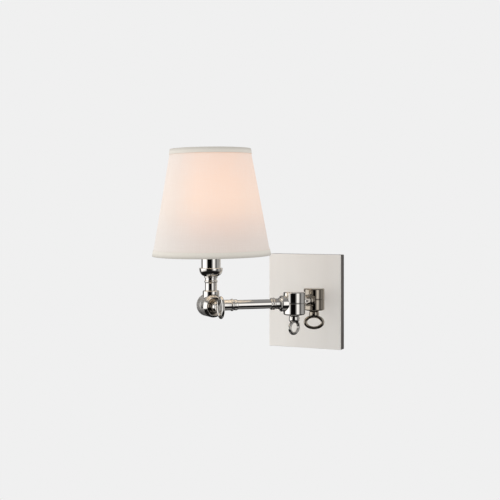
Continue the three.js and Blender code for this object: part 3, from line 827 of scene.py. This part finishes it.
# finishes set per area by the tone it shows: round sides rougher and painted a little lighter, the dished face a dark
# copy of the nickel as painted shade
bpy.context.view_layer.update()
axis = Vector((math.sin(YC), -math.cos(YC), 0))
for half, face in ((front, "painted_dark_face"), (rear, "nickel")):
    half.data.materials.append(M["satin_lit"])
    half.data.materials.append(M[face])
    for f in half.data.polygons:
        v = half.matrix_world @ f.center / MM - Vector((CX, CY, KZ))
        h = v.dot(axis)
        r = (v - axis * h).length
        if r > KN_R - 0.25 and abs(h) < KN_HALF - 2.0:
            f.material_index = 1
        elif h > KN_HALF - 2.2 and r < 12.2:
            f.material_index = 2
screw = turned("grub_screw", fillet([[0, 11.75], [2.35, 11.75], [2.35, 13.6], [0, 13.6]], {2: 0.3}), M["steel"], "head",
               NECK @ RZ(90) @ T(0, 0, SCREW_Z) @ ALONG_X, ["set_screw"], "zinc_steel", 40)
hexa = temp("hexa", lathe_data([[0, 12.4], [1.3, 12.4], [1.3, 16], [0, 16]], 6), NECK @ RZ(90) @ T(0, 0, SCREW_Z) @ ALONG_X)
boolean(screw, hexa, "DIFFERENCE")
screw.data.materials.clear()
screw.data.materials.append(M["steel"])
smooth(screw.data, 30)

# ---- link ---------------------------------------------------------------------------------------
LINK_COLLAR = [[x, r] for r, x in fillet([[8.2, 15.8], [8.2, 17.6], [7.3, 19.0], [7.3, 22.5], [8.2, 23.2], [8.2, 24.8], [7.3, 25.5],
               [6.95, 27.0], [6.3, 27.0]], {"*": 0.55, 7: 0.2})]
# the wall-side collar takes the darker nickel copy: painted shade
saddle_piece("link_collar_wall", LINK_COLLAR[:-1], 6.38, M["painted_shade_nickel"], "link", LINKM, ["link_collar_a"], "polished_nickel")
saddle_piece("link_collar_elbow", LINK_COLLAR[:-1], 6.38, M["nickel"], "link", BACK, ["link_collar_b"], "polished_nickel")
turned("link_bar", [[5.3, 23.6], [6.35, 23.6], [6.35, LINK / 2], [6.35, LINK - 23.6], [5.3, LINK - 23.6]], M["nickel"], "link", LINKM @ ALONG_X,
       ["link_tube"], "polished_nickel", 96, True)

# ---- arm ----------------------------------------------------------------------------------------
BELL = [[x, r] for r, x in fillet([[11, 15.8], [11, 19.0], [10.4, 20.2], [8.6, 20.9], [8.0, 22.0], [7.9, 22.95], [5.4, 22.95]],
        {"*": 0.7, 1: 0.9, 2: 0.8, 5: 0.25})]
saddle_piece("elbow_bell", BELL[:-1], 5.4, M["nickel"], "arm", ARMM, ["arm_bell"], "polished_nickel", 160)
turned("inner_ferrule", fillet([[5.35, 23.05], [7.3, 23.05], [7.3, 28.2], [8.2, 28.9], [8.25, 30.1], [8.2, 30.6], [7.45, 31.25],
       [8.2, 31.9], [8.25, 32.6], [8.2, 33.5], [7.3, 34.3], [6.38, 34.4], [6.38, 29.1], [5.35, 29.1]],
       {"*": 0.45, 1: 0.2, 3: 0.7, 5: 0.7, 6: 0.3, 7: 0.7, 9: 0.7}, closed=True), M["nickel"], "arm", ARMM @ ALONG_X,
       ["arm_inner_ferrule"], "polished_nickel", 128, True)
turned("arm_bar", [[5.3, 29.4], [6.35, 29.4], [6.35, 45], [6.35, 60], [6.35, 75], [6.35, 88.2], [5.3, 88.2]], M["nickel"], "arm", ARMM @ ALONG_X,
       ["arm_tube"], "polished_nickel", 128, True)
OUTER = [[x, r] for r, x in fillet([[7.3, 15.8], [7.25, 27.2], [8.2, 28.0], [8.25, 29.0], [8.2, 30.0], [7.2, 30.8], [7.1, 32.3], [7.4, 32.8],
         [7.4, 35.5], [6.95, 36.3], [6.38, 36.3]], {"*": 0.4, 2: 0.7, 4: 0.7, 8: 0.3})]
saddle_piece("outer_ferrule", OUTER[:-1], 6.38, M["nickel"], "arm", FAR, ["arm_outer_ferrule"], "polished_nickel", skew=TURN_C)


# ---- ring-headed clamp screws ----------------------------------------------------------------------
def ring_screw(name, matrix, body, node_name, mat="nickel"):
    top = -KN_HALF - 0.2
    hub = [[0, top], [5.6, top], [6.4, top - 0.5], [6.9, top - 1.8], [7.35, top - 3.8], [7.4, top - 5.6], [7.1, top - 7.6], [5.9, top - 9.7], [0, top - 10.0]]
    a = temp(name, lathe_data(fillet(hub, {"*": 1.2, 1: 0.4, 7: 1.0}), 96), matrix)
    zc = -KN_HALF - RING_DROP
    b = temp("ring", hoop_data(lambda u: (RING_A * math.cos(u * 2 * math.pi), 0, zc + RING_B * math.sin(u * 2 * math.pi)),
             lambda u: (math.cos(u * 2 * math.pi) / RING_A, 0, math.sin(u * 2 * math.pi) / RING_B),
             lambda u: (RING_END + (RING_SIDE - RING_END) * math.cos(u * 2 * math.pi) ** 2, 2.1), 128, 28), matrix)
    boolean(a, b, "UNION")
    shank = temp("shank", lathe_data([[0, top - 2], [3.0, top - 2], [3.0, KN_HALF - 3.8], [0, KN_HALF - 3.8]], 48), matrix)
    boolean(a, shank, "UNION")
    a.data.materials.clear()
    a.data.materials.append(M[mat])
    smooth(a.data, 42)
    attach(a, body)
    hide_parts(node_name)
    return a


# the wall screw's ring takes the darker nickel copy: painted shade
ring_screw("clamp_ring_wall", FA @ RZ(24), "clamp_screw_a", "ring_screw_a", "painted_shade_nickel")
ring_screw("clamp_ring_elbow", FB @ RZ(85), "clamp_screw_b", "ring_screw_b")
ring_screw("clamp_ring_shade", FC @ RX(180) @ RZ(90), "clamp_screw_c", "ring_screw_c")

# ---- stem, cup and candle sleeve ----------------------------------------------------------------------
COLLAR = [[x, r] for r, x in fillet([[11.15, 15.8], [11.15, 19.3], [10.2, 20.15], [5.4, 20.15]], {"*": 0.45})]
saddle_piece("stem_base", COLLAR[:-1], 5.4, M["nickel"], "head", NECK, ["stem_collar"], "polished_nickel", 160)
turned("stem_tube", fillet([[5.4, 20.2], [7.95, 20.2], [7.95, 30.3], [8.75, 31.1], [8.9, 32.0], [8.75, 32.9], [7.95, 33.7], [7.95, 37.2], [5.4, 37.2]],
       {"*": 0.35, 4: 0.8}, closed=True), M["nickel"], "head", HEAD, ["stem"], "polished_nickel", 112, True)
CUP = [[5.4, 37.3], [9.1, 37.3], [9.2, 39.3], [10.6, 39.7], [12.5, 40.9], [14.1, 42.8], [15.2, 45.3], [15.7, 48.0], [15.75, 50.1], [14.3, 50.1],
       [14.2, 48.0], [13.7, 45.2], [11.4, 42.2], [8.2, 41.0], [5.4, 41.0]]
turned("candle_bowl", fillet(CUP, {1: 0.35, 2: 0.3, 3: 1.5, 4: 6, 5: 6, 6: 6, 7: 6, 8: 0.4, 9: 0.4, 11: 3, 12: 2}, 6, closed=True), M["nickel"], "head", HEAD,
       ["candle_cup"], "polished_nickel", 144, True)
turned("candle_tube", fillet([[11.9, 45.4], [12.95, 45.4], [12.95, 60], [12.95, 80], [12.95, SLEEVE_TOP], [11.9, SLEEVE_TOP]], {4: 0.35, 5: 0.2}, closed=True),
       M["nickel"], "head", HEAD, ["candle_sleeve"], "polished_nickel", 128, True)

# ---- socket and bulb --------------------------------------------------------------------------------------
turned("socket_cup", fillet([[3.4, 58.3], [7.5, 58.3], [11.4, 63.4], [11.4, 97.4], [9.3, 97.4], [9.3, 72], [3.4, 72]], {"*": 0.5, 2: 1.5}, closed=True),
       M["phenolic"], "head", HEAD, ["socket_body"], "socket_phenolic", 72, True)
thread = [[7.75 + 0.28 * math.sin(k * math.pi / 2), 79.6 + k * 0.9] for k in range(20)]
turned("bulb_cap", fillet([[0, 74.1], [2.6, 74.1], [3.4, 75.2], [6.6, 77.6], [7.5, 79.0]] + [[min(r, 7.98), z] for r, z in thread] +
       [[7.9, 98.4], [8.5, 99.6], [8.5, 101.0], [6.2, 101.0], [6.2, 80], [0, 80]], {"*": 0.3}), M["brass"], "head", HEAD, ["bulb_base"], "brass", 72)
BULB = [[101.15, 6.9], [103, 7.6], [106, 9.2], [110, 11.6], [114, 13.8], [118, 15.5], [122, 16.7], [126, 17.3], [130, 17.5], [134, 17.35], [138, 16.8],
        [143, 15.7], [148, 14.3], [153, 12.6], [158, 10.6], [162, 8.75], [166, 6.6], [169, 4.9], [171.5, 3.4], [173.4, 2.1], [174.4, 1.0]]
bulb_out = [[r, z] for z, r in BULB] + [[0, 174.7]]
bulb_in = [[0, 171.0]] + [[max(r - 0.9, 0.5), z - (0.8 if z > 160 else 0)] for z, r in reversed(BULB[:16])]
turned("candle_bulb", bulb_out + bulb_in, M["glass"], "head", HEAD, ["lamp_bulb"], "bulb_glass", 96, True, 60)

# ---- shade -----------------------------------------------------------------------------------------------------
SL = math.hypot(SHADE_Z1 - SHADE_Z0, SHADE_R0 - SHADE_R1)
NX, NZ = (SHADE_Z1 - SHADE_Z0) / SL, (SHADE_R0 - SHADE_R1) / SL      # outward normal of the cone, (radial, z)


def shade_r(z):
    return SHADE_R0 + (SHADE_R1 - SHADE_R0) * (z - SHADE_Z0) / (SHADE_Z1 - SHADE_Z0)


def slow(a, z):
    # The stiff shade is never a perfect cone: a few tenths of a millimetre of wander.
    return 0.16 * math.sin(2 * a + 0.6 + z * 0.01) + 0.09 * math.sin(3 * a + 1.9 - z * 0.017) + 0.05 * math.sin(7 * a + z * 0.03)


SEAM_AT = math.radians(102)      # the lapped joint faces the wall
OVER = 9.0                         # width of the lap


def shade_skin():
    # One sheet of linen on its liner, rolled into a cone and lapped at the back.
    lap = OVER / 66.0
    nu, nv = 224, 36
    th = 0.85
    total = 2 * math.pi + lap
    verts, faces, uvs, fm = [], [], [], []
    us = [total * i / nu for i in range(nu + 1)]
    vs = [0.0, 0.004, 0.012] + [0.012 + (0.976) * j / (nv - 5) for j in range(1, nv - 5)] + [0.988, 0.996, 1.0]
    grid = {}
    for side in (0, 1):
        for i, u in enumerate(us):
            a = SEAM_AT + u
            # the last stretch climbs over the first by one thickness
            lift = 0.0
            start = total - lap
            if u > start - 0.10:
                k = min(1.0, max(0.0, (u - (start - 0.10)) / 0.10))
                lift = (th + 0.1) * k * k * (3 - 2 * k)
            for j, v in enumerate(vs):
                z = SHADE_Z0 + 0.5 + (SHADE_Z1 - SHADE_Z0 - 1.0) * v
                r = shade_r(z) - 0.30 + slow(a, z) + lift - (0.0 if side == 0 else th)
                grid[side, i, j] = len(verts)
                verts.append((r * math.cos(a), r * math.sin(a), z))
    n_v = len(vs)

    def quad(q, uv, k):
        faces.append(q)
        uvs.append(uv)
        fm.append(k)

    def uvp(i, j):
        return (us[i] * 66.0 * MM, vs[j] * SL * MM)

    for i in range(nu):
        for j in range(n_v - 1):
            quad([grid[0, i, j], grid[0, i + 1, j], grid[0, i + 1, j + 1], grid[0, i, j + 1]], [uvp(i, j), uvp(i + 1, j), uvp(i + 1, j + 1), uvp(i, j + 1)], 0)
            quad([grid[1, i, j + 1], grid[1, i + 1, j + 1], grid[1, i + 1, j], grid[1, i, j]], [uvp(i, j + 1), uvp(i + 1, j + 1), uvp(i + 1, j), uvp(i, j)], 1)
    for i in range(nu):
        for j, flip in ((0, False), (n_v - 1, True)):
            q = [grid[1, i, j], grid[1, i + 1, j], grid[0, i + 1, j], grid[0, i, j]]
            quad(q if not flip else q[::-1], [uvp(i, j)] * 4, 0)
    for i, flip in ((0, False), (nu, True)):
        for j in range(n_v - 1):
            q = [grid[0, i, j], grid[0, i, j + 1], grid[1, i, j + 1], grid[1, i, j]]
            quad(q if flip else q[::-1], [uvp(i, j)] * 4, 0)
    ob = build("shade_linen", verts, faces, uvs, None, "head", SHADE, ["shade_skin"], "linen", 40, [M["linen"], M["liner"]], fm)
    return ob


skin = shade_skin()


def tape(name, z_edge, up, node_name, h_out):
    # Folded tape over the shade's edge: outside leg, round over the edge, shorter inside leg.
    h_in, t = 6.2, 0.42
    n = 192
    sgn = 1 if up else -1            # direction from the shade's body towards its edge
    rows = []
    # centre line of the tape in (offset from the skin's mid surface, distance from the edge towards the body)
    off = 0.30 + 0.42 / 2 + 0.06
    mid_in = -(0.30 + 0.85 + 0.42 / 2 + 0.06)
    path = []
    for k in range(9):
        path.append((off, h_out * (1 - k / 8)))
    centre, rad = (off + mid_in) / 2, (off - mid_in) / 2
    for k in range(1, 8):
        a = k / 8 * math.pi
        path.append((centre + rad * math.cos(a), -0.55 * rad * math.sin(a)))
    for k in range(7):
        path.append((mid_in, h_in * k / 6))
    verts, faces, uvs = [], [], []
    m = len(path)
    nrm = []
    for k in range(m):
        p0, p1 = path[max(k - 1, 0)], path[min(k + 1, m - 1)]
        d = Vector((p1[0] - p0[0], p1[1] - p0[1])).normalized()
        nrm.append((-d.y, d.x))
    run = [0.0]
    for k in range(1, m):
        run.append(run[-1] + math.dist(path[k], path[k - 1]))
    for side in (1, -1):
        for k in range(m):
            o, s = path[k]
            thin = 0.5 if k in (0, m - 1) else 1.0
            o2, s2 = o + side * nrm[k][0] * t / 2 * thin, s + side * nrm[k][1] * t / 2 * thin
            rows.append([len(verts) + i for i in range(n)])
            for i in range(n):
                a = 2 * math.pi * i / n
                z = z_edge - sgn * (s2 + 0.55)
                stitch = 0.05 * math.sin(a * 46 + 0.7 * math.sin(5 * a)) if 1 < k < 7 else 0.0
                r = shade_r(z) + o2 - 0.3 + slow(a, z) + stitch * 0.4
                verts.append((r * math.cos(a), r * math.sin(a), z))
    for k in range(m - 1):
        for i in range(n):
            i2 = (i + 1) % n
            u0, u1 = i / n * 2 * math.pi * 66 * MM, (i + 1) / n * 2 * math.pi * 66 * MM
            w0, w1 = run[k] * MM, run[k + 1] * MM
            faces.append([rows[k][i], rows[k][i2], rows[k + 1][i2], rows[k + 1][i]])
            uvs.append([(u0, w0), (u1, w0), (u1, w1), (u0, w1)])
            faces.append([rows[m + k][i], rows[m + k + 1][i], rows[m + k + 1][i2], rows[m + k][i2]])
            uvs.append([(u0, w0), (u0, w1), (u1, w1), (u1, w0)])
    for k in (0, m - 1):
        for i in range(n):
            i2 = (i + 1) % n
            q = [rows[k][i], rows[m + k][i], rows[m + k][i2], rows[k][i2]]
            faces.append(q if k else q[::-1])
            uvs.append([(0, 0)] * 4)
    return build(name, verts, faces, uvs, M["tape"], "head", SHADE, [node_name], "trim_tape", 50), run[-1]


tape_top, w_top = tape("top_tape", SHADE_Z1, True, "shade_top_trim", TRIM_H - 1.3)
tape_bottom, w_bottom = tape("bottom_tape", SHADE_Z0, False, "shade_bottom_trim", TRIM_H - 0.7)


def wire_ring(name, z, node_name):
    R = shade_r(z) - SKIN_T - 0.45 - 1.2 - 0.25
    data = hoop_data(lambda u: (R * math.cos(u * 2 * math.pi), R * math.sin(u * 2 * math.pi), z),
                     lambda u: (math.cos(u * 2 * math.pi), math.sin(u * 2 * math.pi), 0), lambda u: (1.1, 1.1), 160, 12)
    return build(name, *data, M["wire"], "head", SHADE, [node_name], "shade_wire", 60)


wire_ring("bottom_hoop", SHADE_Z0 + 1.9, "shade_bottom_ring")
wire_ring("top_hoop", SHADE_Z1 - 1.9, "shade_top_ring")


def bulb_r(z):
    for (z0, r0), (z1, r1) in zip(BULB, BULB[1:]):
        if z <= z1:
            return r0 + (r1 - r0) * (z - z0) / (z1 - z0)
    return 1.0


def carrier():
    # Hub ring over the bulb, three bent spokes to the top wire ring, two hoops on the bulb.
    W, HR, HZ = 1.05, 14.0, 181.0
    base = temp("shade_clip", hoop_data(lambda u: (HR * math.cos(u * 2 * math.pi), HR * math.sin(u * 2 * math.pi), HZ),
                lambda u: (math.cos(u * 2 * math.pi), math.sin(u * 2 * math.pi), 0), lambda u: (W, W), 72, 12), SHADE)
    for k in range(3):
        a = (k * 120 + 30) * D
        ro = shade_r(SHADE_Z1 - 1.6) - SKIN_T - 0.45 - 2.4 - 0.5
        pts = []
        for q in range(15):
            f = q / 14
            r = HR + (ro - W - HR) * f
            z = HZ + (SHADE_Z1 - 1.9 - HZ) * (f * f * (3 - 2 * f)) * (0.25 + 0.75 * f)
            pts.append((r * math.cos(a), r * math.sin(a), z))
        boolean(base, temp("spoke", swept_data(pts, W), SHADE), "UNION")
    for side in (0.0, math.pi):
        def path(u, side=side):
            z = 138 + 17 * math.sin(u * 2 * math.pi)
            f = side + 0.62 * math.cos(u * 2 * math.pi)
            r = bulb_r(z) + 0.35 + W * 1.15
            return (r * math.cos(f), r * math.sin(f), z)
        boolean(base, temp("grip", hoop_data(path, lambda u: (path(u)[0], path(u)[1], 0), lambda u: (W, W), 64, 12), SHADE), "UNION")
        tr = bulb_r(155) + 0.35 + W * 1.15
        pts = [((tr + (HR - tr) * f) * math.cos(side), (tr + (HR - tr) * f) * math.sin(side), 155 + (HZ - 155) * f) for f in [q / 6 for q in range(7)]]
        boolean(base, temp("riser", swept_data(pts, W), SHADE), "UNION")
    base.data.materials.clear()
    base.data.materials.append(M["wire"])
    smooth(base.data, 45)
    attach(base, "head")
    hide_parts("shade_carrier")
    return base


carrier()

# ---- studio: pale uniform surroundings, soft boxes left and right, dark behind the camera ---------------------
sc = bpy.context.scene
sc.view_settings.view_transform = "Standard"
sc.view_settings.look = "None"
sc.view_settings.exposure = 0.0
sc.view_settings.gamma = 1.0
BG = 0.871

world = bpy.data.worlds.new("studio")
sc.world = world
world.use_nodes = True
wt = world.node_tree
for n in list(wt.nodes):
    wt.nodes.remove(n)
wout = wt.nodes.new("ShaderNodeOutputWorld")
wtc = wt.nodes.new("ShaderNodeTexCoord")
rot = wt.nodes.new("ShaderNodeVectorRotate")
rot.rotation_type = "Z_AXIS"
rot.inputs["Angle"].default_value = -VIEW_AZ * D
wt.links.new(wtc.outputs["Generated"], rot.inputs["Vector"])
sep = wt.nodes.new("ShaderNodeSeparateXYZ")
wt.links.new(rot.outputs["Vector"], sep.inputs[0])
az = math_node(wt, "ARCTAN2", sep.outputs["X"], math_node(wt, "MULTIPLY", sep.outputs["Y"], -1.0))
az01 = remap(wt, az, -math.pi, math.pi, 0.0, 1.0)
el = math_node(wt, "ARCSINE", sep.outputs["Z"])
el01 = remap(wt, el, -math.pi / 2, math.pi / 2, 0.0, 1.0)


def deg(a):
    return (a + 180) / 360


WL, WR = 1.35, 1.22
belt = ramp(wt, az01, [(0.0, 0.40), (deg(-146), 0.38), (deg(-140), 0.05), (deg(-118), 0.05), (deg(-108), WL), (deg(-58), WL), (deg(-46), 0.45 * WL),
            (deg(-37), 0.004), (deg(8), 0.002), (deg(18), 0.22 * WR), (deg(30), 0.9 * WR), (deg(38), WR), (deg(48), 0.72 * WR), (deg(58), 0.16 * WR),
            (deg(69), 0.07), (deg(78), 0.36), (deg(112), 0.38), (deg(124), 0.08), (deg(142), 0.04), (deg(148), 0.38), (1.0, 0.40)])


def eld(a):
    return (a + 90) / 180


in_belt = ramp(wt, el01, [(0.0, 0.0), (eld(-24), 0.0), (eld(-15), 1.0), (eld(20), 1.0), (eld(32), 0.0), (1.0, 0.0)])
above = ramp(wt, el01, [(0.0, 0.25), (eld(-76), 0.25), (eld(-68), 0.20), (eld(-62), 0.012), (eld(-30), 0.008), (eld(-20), 0.03), (eld(24), 0.20), (eld(34), 0.24), (eld(60), 0.25), (eld(72), 0.34), (1.0, 0.45)])
env = mix(wt, in_belt, above, belt)
bg_env = wt.nodes.new("ShaderNodeBackground")
wt.links.new(env, bg_env.inputs["Color"])
bg_env.inputs["Strength"].default_value = 1.0
bg_cam = wt.nodes.new("ShaderNodeBackground")
bg_cam.inputs["Color"].default_value = (BG, BG, BG, 1)
# soft fill that matt surfaces see: fuller from the left, a little less from the right
fill_az = ramp(wt, az01, [(0.0, 0.70), (deg(-135), 1.08), (deg(-90), 1.42), (deg(-45), 1.02), (deg(0), 0.70), (deg(45), 0.84), (deg(90), 1.02), (deg(135), 0.84), (1.0, 0.70)])
fill_el = ramp(wt, el01, [(0.0, 0.55), (eld(-40), 0.66), (eld(0), 0.97), (eld(35), 1.05), (1.0, 1.05)])
bg_fill = wt.nodes.new("ShaderNodeBackground")
wt.links.new(mix(wt, 1.0, fill_az, fill_el, "MULTIPLY"), bg_fill.inputs["Color"])
lp = wt.nodes.new("ShaderNodeLightPath")
md = wt.nodes.new("ShaderNodeMixShader")
wt.links.new(lp.outputs["Is Diffuse Ray"], md.inputs["Fac"])
wt.links.new(bg_env.outputs[0], md.inputs[1])
wt.links.new(bg_fill.outputs[0], md.inputs[2])
ms = wt.nodes.new("ShaderNodeMixShader")
wt.links.new(lp.outputs["Is Camera Ray"], ms.inputs["Fac"])
wt.links.new(md.outputs[0], ms.inputs[1])
wt.links.new(bg_cam.outputs[0], ms.inputs[2])
wt.links.new(ms.outputs[0], wout.inputs["Surface"])

# floor: far below the wall lamp, plain and pale
fm_, ft, fb = new_mat("floor_pale")
fb.inputs["Base Color"].default_value = (0, 0, 0, 1)
fb.inputs["Specular IOR Level"].default_value = 0.0
fb.inputs["Roughness"].default_value = 1.0
fb.inputs["Emission Color"].default_value = (BG, BG, BG, 1)
fb.inputs["Emission Strength"].default_value = 1.0
bpy.ops.mesh.primitive_circle_add(vertices=96, radius=9.0, fill_type="NGON", location=(0, 0, -1.1))
floor = bpy.context.object
floor.name = "floor"
floor.data.materials.append(fm_)
floor.visible_glossy = False
floor.visible_diffuse = False
floor.visible_shadow = False


def area_light(name, loc, target, size, power, color=(1, 1, 1), glossy=True, size_y=None):
    ld = bpy.data.lights.new(name, "AREA")
    ld.energy = power
    ld.color = color
    ld.size = size
    if size_y:
        ld.shape = "RECTANGLE"
        ld.size_y = size_y
    lo = bpy.data.objects.new(name, ld)
    sc.collection.objects.link(lo)
    lo.location = loc
    lo.rotation_mode = "QUATERNION"
    lo.rotation_quaternion = (Vector(target) - Vector(loc)).to_track_quat("-Z", "Y")
    lo.visible_glossy = glossy
    return lo


aim = Vector((CX * MM, CY * MM, 0.12))
bulb_light = bpy.data.lights.new("bulb_light", "POINT")
bulb_light.energy = 0.05
bulb_light.color = (1.0, 0.88, 0.75)
bulb_light.shadow_soft_size = 0.012
bl = bpy.data.objects.new("bulb_light", bulb_light)
sc.collection.objects.link(bl)
bl.visible_glossy = False
bl.location = (CX * MM, CY * MM, (KZ + 184.0) * MM)
bl.parent = frame["bodies"]["head"]

# a lighting choice: these pieces are left out of the plate's soft light, so they don't dim it
for ob in bpy.data.objects:
    if ob.name.startswith(("wall_boss", "wall_knuckle", "link_", "elbow_knuckle", "clamp_ring_wall", "clamp_ring_elbow")):
        ob.visible_diffuse = False
